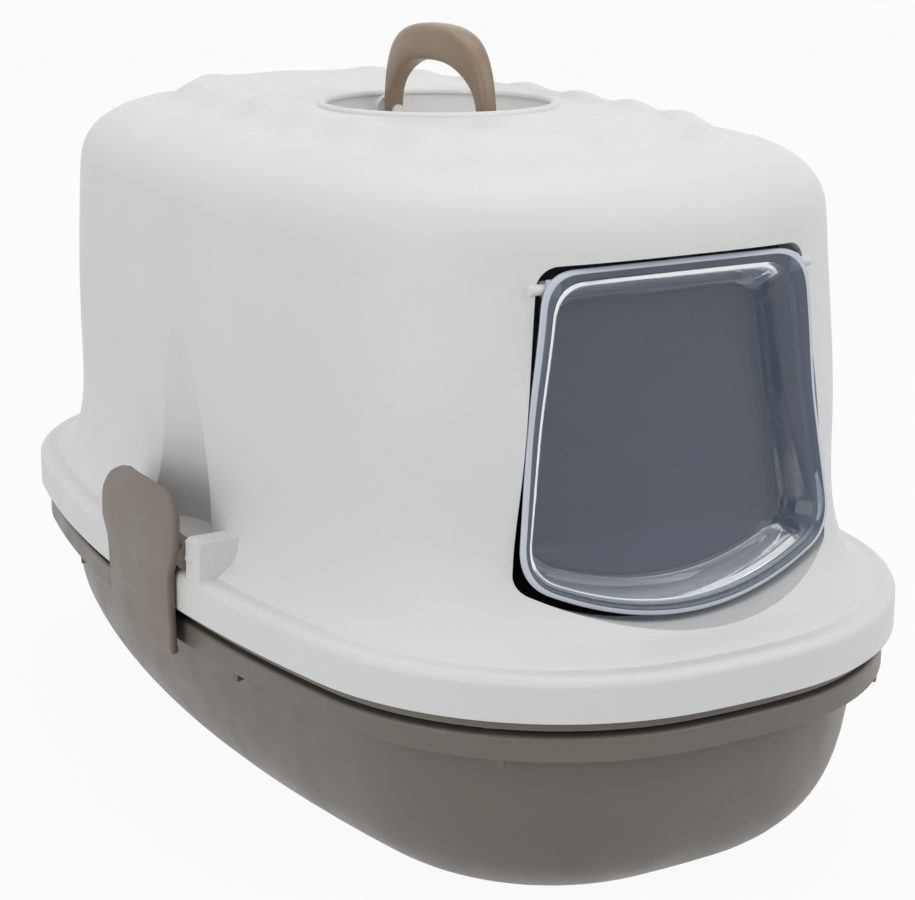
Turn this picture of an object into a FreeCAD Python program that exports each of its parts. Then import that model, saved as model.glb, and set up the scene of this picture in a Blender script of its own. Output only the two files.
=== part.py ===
"""Hooded litter box: two nested trays, a slotted sifter, a hood, a swing door,
a carry handle and two side clips.

Millimetres, +Z up, the door looks towards -Y, the origin is under the middle
of the base tray. Every outline seen from above is one oval of eight tangent
arcs, drawn at a different inset from the edge of the hood's flange.
"""
import FreeCAD
import Part
import Sketcher
import math
import os

V = FreeCAD.Vector

SIZES = {
    # the oval that every plan outline follows
    "flange_half_width": 175.0,
    "flange_half_length": 295.0,
    "oval_side_radius": 900.0,
    "oval_end_radius": 430.0,
    "oval_corner_radius": 142.0,
    # shells and fits
    "wall": 2.4,
    "seat_gap": 0.3,
    "nest_gap": 2.6,
    "overrun": 12.0,
    # base tray
    "tray_floor_inset": 83.0,
    "tray_wall_inset": 16.0,
    "base_rim_inset": 5.0,
    "base_rim_top": 104.7,
    "base_rim_lip": 11.5,
    "gusset_reach": 7.0,
    "gusset_height": 16.0,
    "gusset_width": 3.0,
    # second tray, whose rim stands on spacers over the base tray's rim
    "inner_rim_inset": 6.5,
    "inner_rim_top": 112.7,
    "inner_rim_lip": 5.5,
    "inner_floor": 8.0,
    "spacer_width": 12.0,
    # sifter
    "sift_rim_inset": 10.0,
    "sift_rim_top": 131.2,
    "sift_floor": 26.0,
    "slot_length": 38.0,
    "slot_width": 7.0,
    "slot_pitch_along": 50.0,
    "slot_pitch_across": 17.0,
    "sift_floor_gap": 0.3,
    "sift_ledge": 6.0,
    # hood
    "flange_round": 5.0,
    "hood_foot_inset": 22.0,
    "hood_roof_inset": 100.0,
    "hood_roof": 349.0,
    "hood_end_trim": 32.0,
    # handle bowl in the roof
    "bowl_radius": 60.0,
    "bowl_floor_radius": 52.0,
    "bowl_depth": 19.0,
    "bowl_bead": 2.4,
    "bowl_place": -16.0,
    # handle
    "handle_length": 106.0,
    "handle_top": 391.0,
    "handle_pivot_drop": 7.0,
    "grip_height": 19.0,
    "grip_depth": 17.0,
    "leg_width": 10.0,
    "foot_drop": 7.0,
    "handle_corner": 40.0,
    "handle_inner_corner": 24.0,
    "handle_edge": 4.0,
    "handle_pin": 6.0,
    "handle_boss": 14.0,
    "handle_side_play": 1.0,
    # side clips
    "clip_place": -20.0,
    "clip_length": 96.0,
    "clip_arm_length": 76.0,
    "clip_thickness": 4.6,
    "clip_top": 172.0,
    "clip_pivot_height": 142.0,
    "clip_pivot_inset": 6.0,
    "clip_barrel": 12.0,
    "clip_pin": 6.0,
    "clip_play": 0.6,
    "clip_hook": 4.0,
    "clip_lobe_round": 19.0,
    "clip_edge": 1.4,
    "cheek_length": 14.0,
    "cheek_top": 153.0,
    "cheek_round": 8.0,
    "scoop_depth_inset": 39.0,
    "scoop_radius": 50.0,
    "scoop_lean": 8.0,
    "cheek_set_back": 0.6,
    # swing door
    "door_lean": 7.0,
    "door_face_inset": 62.5,
    "door_hinge_height": 293.0,
    "door_top_rise": 7.5,
    "door_top_half_width": 70.0,
    "door_side_drop": 124.0,
    "door_bottom_half_width": 86.0,
    "door_arc_drop": 25.0,
    "door_corner": 8.0,
    "dish_corner": 15.0,
    "door_lip": 7.5,
    "door_dish_depth": 24.0,
    "door_dish_draft": 9.0,
    "door_wall": 2.2,
    "door_side_gap": 2.0,
    "door_sill_gap": 5.0,
    "door_pin": 5.0,
    "door_knuckle": 9.5,
    "door_knuckle_length": 6.0,
    "door_knuckle_inset": 1.2,
    "door_pin_back": 5.2,
    "frame_depth": 18.0,
    "bore_gap": 0.3,
}

# share of the height, share of the way from floor outline to wall outline
tray_profile_shares = ((0.0, 0.0, 0.0), (0.09, 0.40, 0.0), (0.27, 0.73, 0.0), (0.60, 0.92, 0.0), (1.0, 1.0, 0.0))
# share of the height, share of the way from foot outline to roof outline, share of the
# extra that the ends lean in
hood_profile_shares = (
    (0.0, -0.154, 0.0), (0.0886, -0.154, 0.0), (0.106, -0.096, 0.125), (0.136, -0.026, 0.28), (0.169, 0.0, 0.375),
    (0.50, 0.019, 0.69), (0.8305, 0.038, 1.0), (0.869, 0.064, 1.0), (0.9025, 0.122, 1.0), (0.932, 0.224, 1.0),
    (0.953, 0.346, 1.0), (0.966, 0.513, 1.0), (0.985, 0.756, 1.0), (1.0, 1.0, 1.0))
# places round the rim, as shares of a quarter of its length, of gussets and spacers
rim_place_shares = (0.28, 0.72)


class Size:
    """A number from the sheet together with the expression that drives it."""

    def __init__(self, value, text):
        self.value = value
        self.text = text

    def _pair(self, other, sign, value):
        text = other.text if isinstance(other, Size) else str(other)
        return Size(value, "(%s %s %s)" % (self.text, sign, text))

    def __add__(self, other):
        return self._pair(other, "+", self.value + number(other))

    def __sub__(self, other):
        return self._pair(other, "-", self.value - number(other))

    def __mul__(self, other):
        return self._pair(other, "*", self.value * number(other))

    def __truediv__(self, other):
        return self._pair(other, "/", self.value / number(other))

    def __neg__(self):
        return Size(-self.value, "(0 - %s)" % self.text)


def number(item):
    return item.value if isinstance(item, Size) else float(item)


doc = FreeCAD.newDocument("litter_box")
sheet = doc.addObject("Spreadsheet::Sheet", "sizes")
for row, (alias, amount) in enumerate(SIZES.items(), start=1):
    sheet.set("A%d" % row, alias)
    sheet.set("B%d" % row, str(amount))
    sheet.setAlias("B%d" % row, alias)
doc.recompute()
D = {alias: float(sheet.get(alias)) for alias in SIZES}
S = {alias: Size(D[alias], "sizes.%s" % alias) for alias in SIZES}


def oval(inset, z, trim=0.0):
    """Closed wire of eight tangent arcs at an inset from the flange's edge; trim shortens its ends."""
    half_w = D["flange_half_width"] - inset
    half_l = D["flange_half_length"] - inset - trim
    side_r = D["oval_side_radius"] - inset
    end_r = D["oval_end_radius"] - inset
    corner_r = D["oval_corner_radius"] - inset
    side_c = V(half_w - side_r, 0, 0)
    end_c = V(0, half_l - end_r, 0)
    reach_s = side_r - corner_r
    reach_e = end_r - corner_r
    line = end_c - side_c
    span = line.Length
    along = (reach_s ** 2 - reach_e ** 2 + span ** 2) / (2 * span)
    rise = math.sqrt(reach_s ** 2 - along ** 2)
    line.normalize()
    normal = V(-line.y, line.x, 0)
    corner_c = max((side_c + line * along + normal * rise * s for s in (1, -1)), key=lambda p: p.x + p.y)
    on_side = side_c + (corner_c - side_c).normalize() * side_r
    on_end = end_c + (corner_c - end_c).normalize() * end_r
    middle = (on_side - corner_c).normalize() + (on_end - corner_c).normalize()
    on_corner = corner_c + middle.normalize() * corner_r

    def at(p, sx, sy):
        return V(p.x * sx, p.y * sy, z)

    edges = [Part.Arc(at(on_side, 1, -1), V(half_w, 0, z), at(on_side, 1, 1)).toShape()]
    edges.append(Part.Arc(at(on_side, 1, 1), at(on_corner, 1, 1), at(on_end, 1, 1)).toShape())
    edges.append(Part.Arc(at(on_end, 1, 1), V(0, half_l, z), at(on_end, -1, 1)).toShape())
    edges.append(Part.Arc(at(on_end, -1, 1), at(on_corner, -1, 1), at(on_side, -1, 1)).toShape())
    edges.append(Part.Arc(at(on_side, -1, 1), V(-half_w, 0, z), at(on_side, -1, -1)).toShape())
    edges.append(Part.Arc(at(on_side, -1, -1), at(on_corner, -1, -1), at(on_end, -1, -1)).toShape())
    edges.append(Part.Arc(at(on_end, -1, -1), V(0, -half_l, z), at(on_end, 1, -1)).toShape())
    edges.append(Part.Arc(at(on_end, 1, -1), at(on_corner, 1, -1), at(on_side, 1, -1)).toShape())
    return Part.Wire(edges)


def slab(inset, low, high):
    """Straight oval prism between two heights."""
    return Part.Face(oval(inset, low)).extrude(V(0, 0, high - low))


def ring(outer_inset, inner_inset, low, high):
    return slab(outer_inset, low, high).cut(slab(inner_inset, low, high))


def between(shares, low_inset, high_inset, low, high, grow=0.0, end_trim=0.0):
    """Smooth loft through oval outlines, moved inwards by grow."""
    wires = []
    for height_share, inset_share, trim_share in shares:
        inset = low_inset + inset_share * (high_inset - low_inset) + grow
        wires.append(oval(inset, low + height_share * (high - low), trim_share * end_trim))
    return Part.makeLoft(wires, True, False, False, 3)


def rim_place(share, sx, sy, inset):
    """Point and outward direction on the oval, between its corner and its end or side."""
    wire = oval(inset, 0.0)
    quarter = wire.Length / 4
    point = wire.discretize(Distance=quarter / 60)
    first = [p for p in point if p.x > 0 and p.y > 0]
    first.sort(key=lambda p: math.atan2(p.y, p.x))
    p = first[int(share * (len(first) - 1))]
    return V(p.x * sx, p.y * sy, 0)


def standing_block(length, depth, low, high, place, heading):
    """Block with its width along the rim, centred on place and turned to heading."""
    block = Part.makeBox(depth, length, high - low, V(-depth / 2, -length / 2, low))
    block.rotate(V(0, 0, 0), V(0, 0, 1), heading)
    block.translate(place)
    return block


def rim_blocks(length, depth, low, high, inset):
    blocks = []
    for share in rim_place_shares:
        for sx in (1, -1):
            for sy in (1, -1):
                place = rim_place(share, sx, sy, inset)
                heading = math.degrees(math.atan2(place.y / D["flange_half_length"],
                                                  place.x / D["flange_half_width"]))
                blocks.append(standing_block(length, depth, low, high, place, heading))
    return blocks


def tray_shell(nest, floor, top, rim_inset, lip):
    """Open tub with a turned-down rim; nest counts how many tubs lie outside it."""
    step = nest * (D["wall"] + D["nest_gap"])
    wall = D["wall"]
    floor_inset = D["tray_floor_inset"] + step
    wall_inset = D["tray_wall_inset"] + step
    outer = between(tray_profile_shares, floor_inset, wall_inset, floor, top)
    inner = between(tray_profile_shares, floor_inset, wall_inset, floor + wall, top + wall, wall)
    rim = ring(rim_inset, wall_inset + wall / 2, top - wall, top)
    lip_ring = ring(rim_inset, rim_inset + wall, top - lip, top)
    return outer.fuse([rim, lip_ring]).cut(inner), inner


def rounded_rim(shape, top, rim_inset, radius):
    """Rounds the outer upper edge of a turned-down rim."""
    edges = []
    for edge in shape.Edges:
        box = edge.BoundBox
        if abs(box.ZMin - top) < 1e-6 and abs(box.ZMax - top) < 1e-6:
            edges.append(edge)
    outer = [e for e in edges if on_outline(e, rim_inset)]
    return shape.makeFillet(radius, outer)


def on_outline(edge, inset):
    wire = oval(inset, edge.BoundBox.ZMin)
    probe = Part.Vertex(edge.valueAt((edge.FirstParameter + edge.LastParameter) / 2))
    return wire.distToShape(probe)[0] < 1e-4


def add_feature(label, shape):
    item = doc.addObject("Part::Feature", label)
    item.Label = label
    item.Shape = shape
    return item


# base tray, with the small gussets under its rim
base_shape, base_hollow = tray_shell(0, 0.0, D["base_rim_top"], D["base_rim_inset"], D["base_rim_lip"])
base_shape = rounded_rim(base_shape, D["base_rim_top"], D["base_rim_inset"], D["wall"] * 0.8)
gusset_inset = (D["base_rim_inset"] + D["tray_wall_inset"]) / 2
gussets = rim_blocks(D["gusset_width"], D["gusset_reach"] + D["wall"],
                     D["base_rim_top"] - D["gusset_height"], D["base_rim_top"] - D["wall"], gusset_inset)
base_shape = base_shape.fuse([g.cut(base_hollow) for g in gussets])
base_tray = add_feature("base_tray", base_shape)

# second tray; spacers under its rim stand on the base tray's rim
inner_shape, inner_hollow = tray_shell(1, D["inner_floor"], D["inner_rim_top"], D["inner_rim_inset"], D["inner_rim_lip"])
inner_shape = rounded_rim(inner_shape, D["inner_rim_top"], D["inner_rim_inset"], D["wall"] * 0.8)
spacer_inset = (D["inner_rim_inset"] + D["tray_wall_inset"]) / 2 + D["wall"]
spacers = rim_blocks(D["spacer_width"], D["wall"] * 2, D["base_rim_top"] + D["seat_gap"],
                     D["inner_rim_top"] - D["wall"] / 2, spacer_inset)
inner_shape = inner_shape.fuse(spacers)
inner_tray = add_feature("inner_tray", inner_shape)

# sifter: walls with a ledge, and the slotted floor on it
sift_lip = D["sift_rim_top"] - D["inner_rim_top"] - D["seat_gap"]
sift_shape, sift_hollow = tray_shell(2, D["sift_floor"], D["sift_rim_top"], D["sift_rim_inset"], sift_lip)
sift_floor_top = D["sift_floor"] + D["wall"]
step_two = 2 * (D["wall"] + D["nest_gap"])
sift_floor_inset = D["tray_floor_inset"] + step_two + D["wall"]
ledge_hole = slab(sift_floor_inset + D["sift_ledge"], D["sift_floor"] - D["overrun"], sift_floor_top + D["overrun"])
sift_walls = add_feature("sifter_walls", sift_shape.cut(ledge_hole))

grid = slab(sift_floor_inset + D["sift_ledge"] + D["sift_floor_gap"], D["sift_floor"], sift_floor_top)
room_x = D["flange_half_width"] - sift_floor_inset - 2 * D["sift_ledge"] - D["slot_width"] / 2
room_y = D["flange_half_length"] - sift_floor_inset - 2 * D["sift_ledge"] - D["slot_length"] / 2
count_x = int(room_x // D["slot_pitch_across"])
count_y = int(room_y // D["slot_pitch_along"])
slots = []
for ix in range(-count_x, count_x + 1):
    for iy in range(-count_y, count_y + 1):
        x = ix * D["slot_pitch_across"]
        y = iy * D["slot_pitch_along"]
        if (x / room_x) ** 4 + (y / room_y) ** 4 > 1.0:
            continue
        slots.append(Part.makeBox(D["slot_width"], D["slot_length"], D["wall"] + 2 * D["overrun"],
                                  V(x - D["slot_width"] / 2, y - D["slot_length"] / 2,
                                    D["sift_floor"] - D["overrun"])))
sift_floor = add_feature("sifter_floor", grid.cut(slots))

# hood
hood_foot = D["inner_rim_top"] + D["seat_gap"]
flange_under = D["sift_rim_top"] + D["seat_gap"]
flange_top = flange_under + D["wall"]
wall = D["wall"]
body = between(hood_profile_shares, D["hood_foot_inset"], D["hood_roof_inset"], hood_foot, D["hood_roof"],
               0.0, D["hood_end_trim"])
hollow = between(hood_profile_shares, D["hood_foot_inset"], D["hood_roof_inset"], hood_foot - wall,
                 D["hood_roof"] - wall, wall, D["hood_end_trim"])
flange = slab(0.0, hood_foot, flange_top)
flange = flange.makeFillet(D["flange_round"], [e for e in flange.Edges if e.BoundBox.ZMin > flange_top - wall / 2])
under = slab(wall, hood_foot - wall, flange_under)

clip_x = D["flange_half_width"] - D["clip_pivot_inset"]
pockets = []
skins = []
cheeks = []
pins = []
for side in (1, -1):
    scoop_x = side * (D["flange_half_width"] - D["scoop_depth_inset"] + D["scoop_radius"])
    tall = D["hood_roof"] - flange_top
    lean = math.radians(D["scoop_lean"])
    leaning = V(side * math.sin(lean), 0, math.cos(lean))
    foot = V(scoop_x, D["clip_place"], flange_top)
    pockets.append(Part.makeCylinder(D["scoop_radius"], tall, foot, leaning))
    skins.append(Part.makeCylinder(D["scoop_radius"] + wall, tall + wall, foot - leaning * wall, leaning))
    for end in (1, -1):
        low_y = D["clip_place"] + end * (D["clip_length"] / 2 + D["clip_play"])
        far_y = low_y + end * D["cheek_length"]
        depth = D["clip_pivot_inset"] + D["clip_barrel"] / 2 + D["hood_foot_inset"]
        cheek = Part.makeBox(depth, D["cheek_length"], D["cheek_top"] - flange_under,
                             V(D["flange_half_width"] - depth, min(low_y, far_y), flange_under))
        round_edges = [e for e in cheek.Edges
                       if e.BoundBox.ZMin > D["cheek_top"] - wall / 2 and e.BoundBox.XMin > D["flange_half_width"] - wall / 2]
        cheek = cheek.makeFillet(D["cheek_round"], round_edges)
        cheek = cheek.common(slab(D["cheek_set_back"], flange_under, D["cheek_top"]))
        if side < 0:
            cheek = cheek.mirror(V(0, 0, 0), V(1, 0, 0))
        cheeks.append(cheek)
    pin_length = D["clip_length"] + 2 * D["clip_play"] + D["cheek_length"]
    pins.append(Part.makeCylinder(D["clip_pin"] / 2, pin_length,
                                  V(side * clip_x, D["clip_place"] - pin_length / 2, D["clip_pivot_height"]), V(0, 1, 0)))

bowl_at = V(0, D["bowl_place"], D["hood_roof"] - D["bowl_depth"])
bowl = Part.makeCone(D["bowl_floor_radius"], D["bowl_radius"], D["bowl_depth"], bowl_at)
bowl_skin = Part.makeCone(D["bowl_floor_radius"] + wall, D["bowl_radius"] + wall, D["bowl_depth"] + wall,
                          bowl_at - V(0, 0, wall))
bowl_bead = Part.makeTorus(D["bowl_radius"] + D["bowl_bead"] / 2, D["bowl_bead"], V(0, D["bowl_place"], D["hood_roof"]))

pivot_z = D["hood_roof"] - D["handle_pivot_drop"]
foot_y = D["handle_length"] / 2 + D["handle_side_play"]
slope_share = (D["bowl_depth"] - D["handle_pivot_drop"]) / D["bowl_depth"]
bowl_at_pivot = D["bowl_floor_radius"] + slope_share * (D["bowl_radius"] - D["bowl_floor_radius"])
for end in (1, -1):
    boss_length = bowl_at_pivot + wall - foot_y
    boss = Part.makeCylinder(D["handle_boss"] / 2, boss_length, V(0, D["bowl_place"] + end * foot_y, pivot_z), V(0, end, 0))
    pin_in = foot_y - D["leg_width"] - D["handle_side_play"]
    pin = Part.makeCylinder(D["handle_pin"] / 2, boss_length + foot_y - pin_in,
                            V(0, D["bowl_place"] + end * pin_in, pivot_z), V(0, end, 0))
    pins.extend((boss, pin))

# the door's own upright frame: x across, y into the box from the face, z above the hinge
door_y = -(D["flange_half_length"] - D["door_face_inset"])
door_spot = FreeCAD.Placement(V(0, door_y, D["door_hinge_height"]), FreeCAD.Rotation(V(1, 0, 0), -D["door_lean"]))


def panel(grow, sill, y, corner):
    """Door outline at depth y, grown on every side; sill lowers its bottom arc."""
    top = D["door_top_rise"] + grow
    low = -D["door_side_drop"] - sill - grow
    arc = low - D["door_arc_drop"]
    top_half = D["door_top_half_width"] + grow
    low_half = D["door_bottom_half_width"] + grow
    corners = [V(-top_half, y, top), V(top_half, y, top), V(low_half, y, low), V(-low_half, y, low)]
    edges = [Part.makeLine(corners[0], corners[1]), Part.makeLine(corners[1], corners[2])]
    edges.append(Part.Arc(corners[2], V(0, y, arc), corners[3]).toShape())
    edges.append(Part.makeLine(corners[3], corners[0]))
    block = Part.Face(Part.Wire(edges)).extrude(V(0, D["overrun"], 0))
    along = [e for e in block.Edges if e.BoundBox.YLength > D["overrun"] / 2]
    block = block.makeFillet(corner, along)
    face = min(block.Faces, key=lambda f: f.CenterOfMass.y)
    return face.OuterWire


def panel_prism(grow, sill, low, high):
    return Part.Face(panel(grow, sill, low, D["door_corner"] + grow)).extrude(V(0, high - low, 0))


front = -(D["door_face_inset"] + D["overrun"])
opening = panel_prism(D["door_side_gap"], D["door_sill_gap"], front, D["frame_depth"] + D["overrun"])
surround = panel_prism(D["door_side_gap"] + wall, D["door_sill_gap"], front, D["frame_depth"])
opening.Placement = door_spot
surround.Placement = door_spot
for end in (1, -1):
    pin_from = D["door_top_half_width"] - D["door_knuckle_inset"] - D["door_knuckle_length"]
    pin_to = D["door_top_half_width"] + D["door_side_gap"] + wall + D["door_side_gap"]
    pin = Part.makeCylinder(D["door_pin"] / 2, pin_to - pin_from, V(end * pin_from, D["door_pin_back"], 0), V(end, 0, 0))
    pin.Placement = door_spot.multiply(pin.Placement)
    pins.append(pin)

hood_solid = body.fuse(flange).cut(pockets + [bowl])
hood_hollow = hollow.cut(skins + [bowl_skin])
hood_shape = hood_solid.cut([hood_hollow, under])
hood_shape = hood_shape.fuse([surround.common(body)])
hood_shape = hood_shape.cut(opening)
hood_shape = hood_shape.fuse([c.cut(hollow) for c in cheeks] + [bowl_bead.cut(bowl)] + pins)
hood = add_feature("hood", hood_shape)

# swing door: a lip, a dish that stands into the box, and two bored knuckles
lip = panel_prism(0.0, 0.0, 0.0, D["door_wall"])
dish_wall = D["door_wall"]
dish_front = -D["door_lip"]
dish_back = dish_front - D["door_dish_draft"]
dish = Part.makeLoft([panel(dish_front, 0.0, 0.0, D["dish_corner"]),
                      panel(dish_back, 0.0, D["door_dish_depth"], D["dish_corner"])], True)
hollow_corner = D["dish_corner"] - dish_wall
dish_hollow = Part.makeLoft([panel(dish_front - dish_wall, 0.0, 0.0, hollow_corner),
                             panel(dish_back - dish_wall, 0.0, D["door_dish_depth"] - dish_wall, hollow_corner)], True)
knuckles = []
bores = []
for end in (1, -1):
    start = end * (D["door_top_half_width"] - D["door_knuckle_inset"] - D["door_knuckle_length"])
    knuckles.append(Part.makeCylinder(D["door_knuckle"] / 2, D["door_knuckle_length"],
                                      V(start, D["door_pin_back"], 0), V(end, 0, 0)))
    bores.append(Part.makeCylinder(D["door_pin"] / 2 + D["bore_gap"], D["door_knuckle_length"] + 2 * D["overrun"],
                                   V(start - end * D["door_lip"] / 2, D["door_pin_back"], 0), V(end, 0, 0)))
door_shape = lip.fuse([dish] + knuckles).cut([dish_hollow] + bores)
door = add_feature("door", door_shape)
door.Placement = door_spot


def plane(made, role):
    return next(f for f in made.Origin.OriginFeatures if f.Role == role)


def outline(made, name, role, points):
    """Closed sketch of straight lines; every corner is driven from the sheet."""
    sketch = made.newObject("Sketcher::SketchObject", name)
    sketch.AttachmentSupport = (plane(made, role), [""])
    sketch.MapMode = "FlatFace"
    spots = [V(number(a), number(b), 0) for a, b in points]
    for i, spot in enumerate(spots):
        sketch.addGeometry(Part.LineSegment(spot, spots[(i + 1) % len(spots)]), False)
    for i in range(len(spots)):
        sketch.addConstraint(Sketcher.Constraint("Coincident", i, 2, (i + 1) % len(spots), 1))
    for i, (a, b) in enumerate(points):
        for kind, amount in (("DistanceX", a), ("DistanceY", b)):
            if abs(number(amount)) < 1e-9:
                sketch.addConstraint(Sketcher.Constraint("PointOnObject", i, 1, -2 if kind == "DistanceX" else -1))
                continue
            k = sketch.addConstraint(Sketcher.Constraint(kind, -1, 1, i, 1, number(amount)))
            sketch.setExpression("Constraints[%d]" % k, amount.text)
    return sketch


def circle(made, name, role, a, b, radius):
    sketch = made.newObject("Sketcher::SketchObject", name)
    sketch.AttachmentSupport = (plane(made, role), [""])
    sketch.MapMode = "FlatFace"
    sketch.addGeometry(Part.Circle(V(number(a), number(b), 0), V(0, 0, 1), number(radius)), False)
    for kind, amount in (("DistanceX", a), ("DistanceY", b)):
        if abs(number(amount)) < 1e-9:
            sketch.addConstraint(Sketcher.Constraint("PointOnObject", 0, 3, -2 if kind == "DistanceX" else -1))
            continue
        k = sketch.addConstraint(Sketcher.Constraint(kind, -1, 1, 0, 3, number(amount)))
        sketch.setExpression("Constraints[%d]" % k, amount.text)
    k = sketch.addConstraint(Sketcher.Constraint("Radius", 0, number(radius)))
    sketch.setExpression("Constraints[%d]" % k, radius.text)
    return sketch


def pad(made, name, sketch, length):
    item = made.newObject("PartDesign::Pad", name)
    item.Profile = sketch
    item.Midplane = True
    item.setExpression("Length", length.text)
    doc.recompute()
    return item


def pocket(made, name, sketch):
    before = made.Tip.Shape.Volume
    item = made.newObject("PartDesign::Pocket", name)
    item.Profile = sketch
    item.Midplane = True
    item.Type = "ThroughAll"
    doc.recompute()
    if not item.Shape.Volume < before:
        raise RuntimeError(name + " cuts nothing")
    return item


def soften(made, name, radius, choose):
    """Fillet on the edges of the last feature that choose picks."""
    base = made.Tip
    picked = ["Edge%d" % (i + 1) for i, e in enumerate(base.Shape.Edges) if choose(e)]
    item = made.newObject("PartDesign::Fillet", name)
    item.Base = (base, picked)
    item.setExpression("Radius", radius.text)
    doc.recompute()
    if not picked or "Invalid" in item.State:
        raise RuntimeError("%s failed on %d edges" % (name, len(picked)))
    return item


# carry handle: a bail that stands along the box on two pins in the roof's bowl
handle = doc.addObject("PartDesign::Body", "handle")
handle.Label = "handle"
outer_y = S["handle_length"] / 2
inner_y = outer_y - S["leg_width"]
stand = S["handle_top"] - S["hood_roof"] + S["handle_pivot_drop"]
under_grip = stand - S["grip_height"]
sole = -S["foot_drop"]
bail = outline(handle, "bail_outline", "YZ_Plane", [
    (outer_y, sole), (outer_y, stand), (-outer_y, stand), (-outer_y, sole),
    (-inner_y, sole), (-inner_y, under_grip), (inner_y, under_grip), (inner_y, sole)])
pad(handle, "bail", bail, S["grip_depth"])


def level_edge(e, half_y, z):
    c = e.BoundBox
    return c.XLength > D["grip_depth"] / 2 and abs(abs(c.Center.y) - half_y) < 1e-3 and abs(c.Center.z - z) < 1e-3


soften(handle, "outer_corners", S["handle_corner"], lambda e: level_edge(e, outer_y.value, stand.value))
soften(handle, "inner_corners", S["handle_inner_corner"], lambda e: level_edge(e, inner_y.value, under_grip.value))


def face_edge(e):
    c = e.BoundBox
    return c.XLength < 1e-6 and abs(abs(c.Center.x) - D["grip_depth"] / 2) < 1e-3 and c.ZMin > sole.value + 1e-3 - D["foot_drop"]


soften(handle, "soft_edges", S["handle_edge"], lambda e: face_edge(e) and e.BoundBox.ZMax > sole.value + 1e-3)
eye = circle(handle, "eye_outline", "XZ_Plane", S["wall"] * 0, S["wall"] * 0, S["handle_pin"] / 2 + S["bore_gap"])
pocket(handle, "eyes", eye)
handle.setExpression("Placement.Base.y", "sizes.bowl_place")
handle.setExpression("Placement.Base.z", "sizes.hood_roof - sizes.handle_pivot_drop")


def make_clip(label, side):
    """Rocker clip: a barrel on the hood's pin, a lobe above to push and a hooked arm below."""
    made = doc.addObject("PartDesign::Body", label)
    made.Label = label
    face = S["clip_pivot_inset"] + S["clip_play"]
    back = face + S["clip_thickness"]
    top = S["clip_top"] - S["clip_pivot_height"]
    barrel = S["clip_barrel"] / 2
    rim_low = S["base_rim_top"] - S["base_rim_lip"] - S["clip_pivot_height"]
    hook_top = rim_low - S["seat_gap"]
    hook_low = hook_top - S["clip_hook"]
    hook_in = face - S["base_rim_inset"]
    points = [(face, hook_top), (hook_in, hook_top), (hook_in, hook_low), (back, hook_low),
              (back, top), (face, top)]
    points += [(face, barrel), (S["wall"] * 0, barrel), (S["wall"] * 0, -barrel), (face, -barrel)]
    if side < 0:
        points = [(-a if number(a) else a, b) for a, b in points]
    profile = outline(made, label + "_profile", "XZ_Plane", points)
    pad(made, label + "_plate", profile, S["clip_length"])
    collar = circle(made, label + "_collar", "XZ_Plane", S["wall"] * 0, S["wall"] * 0, barrel)
    pad(made, label + "_barrel", collar, S["clip_length"])
    bore = circle(made, label + "_bore", "XZ_Plane", S["wall"] * 0, S["wall"] * 0, S["clip_pin"] / 2 + S["bore_gap"])
    pocket(made, label + "_hole", bore)
    half = S["clip_length"] / 2
    arm = S["clip_arm_length"] / 2
    beyond = half + S["overrun"]
    low = hook_low - S["overrun"]
    shoulder = -barrel - S["wall"]
    for tag, sign in (("near", -1), ("far", 1)):
        rows = [(arm if sign > 0 else -arm, low), (beyond if sign > 0 else -beyond, low),
                (beyond if sign > 0 else -beyond, shoulder), (arm if sign > 0 else -arm, shoulder)]
        notch = outline(made, label + "_notch_" + tag, "YZ_Plane", rows)
        pocket(made, label + "_side_" + tag, notch)

    def lobe_edge(e):
        c = e.BoundBox
        return c.YLength < 1e-6 and c.XLength > D["clip_thickness"] / 2 and abs(c.Center.z - top.value) < 1e-3

    soften(made, label + "_lobe", S["clip_lobe_round"], lobe_edge)

    def outer_edge(e):
        c = e.BoundBox
        return c.XLength < 1e-6 and abs(abs(c.Center.x) - back.value) < 1e-3

    soften(made, label + "_edge", S["clip_edge"], outer_edge)
    made.setExpression("Placement.Base.x", "%d * (sizes.flange_half_width - sizes.clip_pivot_inset)" % side)
    made.setExpression("Placement.Base.y", "sizes.clip_place")
    made.setExpression("Placement.Base.z", "sizes.clip_pivot_height")
    return made


clip_right = make_clip("clip_right", 1)
clip_left = make_clip("clip_left", -1)
doc.recompute()

NODES = [base_tray, inner_tray, sift_walls, sift_floor, hood, door, handle, clip_right, clip_left]
for item in doc.Objects:
    if "Invalid" in item.State or "Error" in item.State:
        raise RuntimeError("%s is %s" % (item.Name, item.State))
for node in NODES:
    shape = node.Shape
    if shape.isNull() or not shape.isValid():
        raise RuntimeError(node.Label + " is not a valid shape")
    if len(shape.Solids) != 1:
        raise RuntimeError("%s has %d solids" % (node.Label, len(shape.Solids)))

os.makedirs("parts", exist_ok=True)
for node in NODES:
    node.Shape.exportStep("parts/%s.step" % node.Label)
    box = node.Shape.BoundBox
    print("%-14s %9.0f mm3  x %.1f..%.1f  y %.1f..%.1f  z %.1f..%.1f" % (
        node.Label, node.Shape.Volume, box.XMin, box.XMax, box.YMin, box.YMax, box.ZMin, box.ZMax))
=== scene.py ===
import math

import bmesh
import bpy
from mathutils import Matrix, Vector
from mathutils.bvhtree import BVHTree


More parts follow.
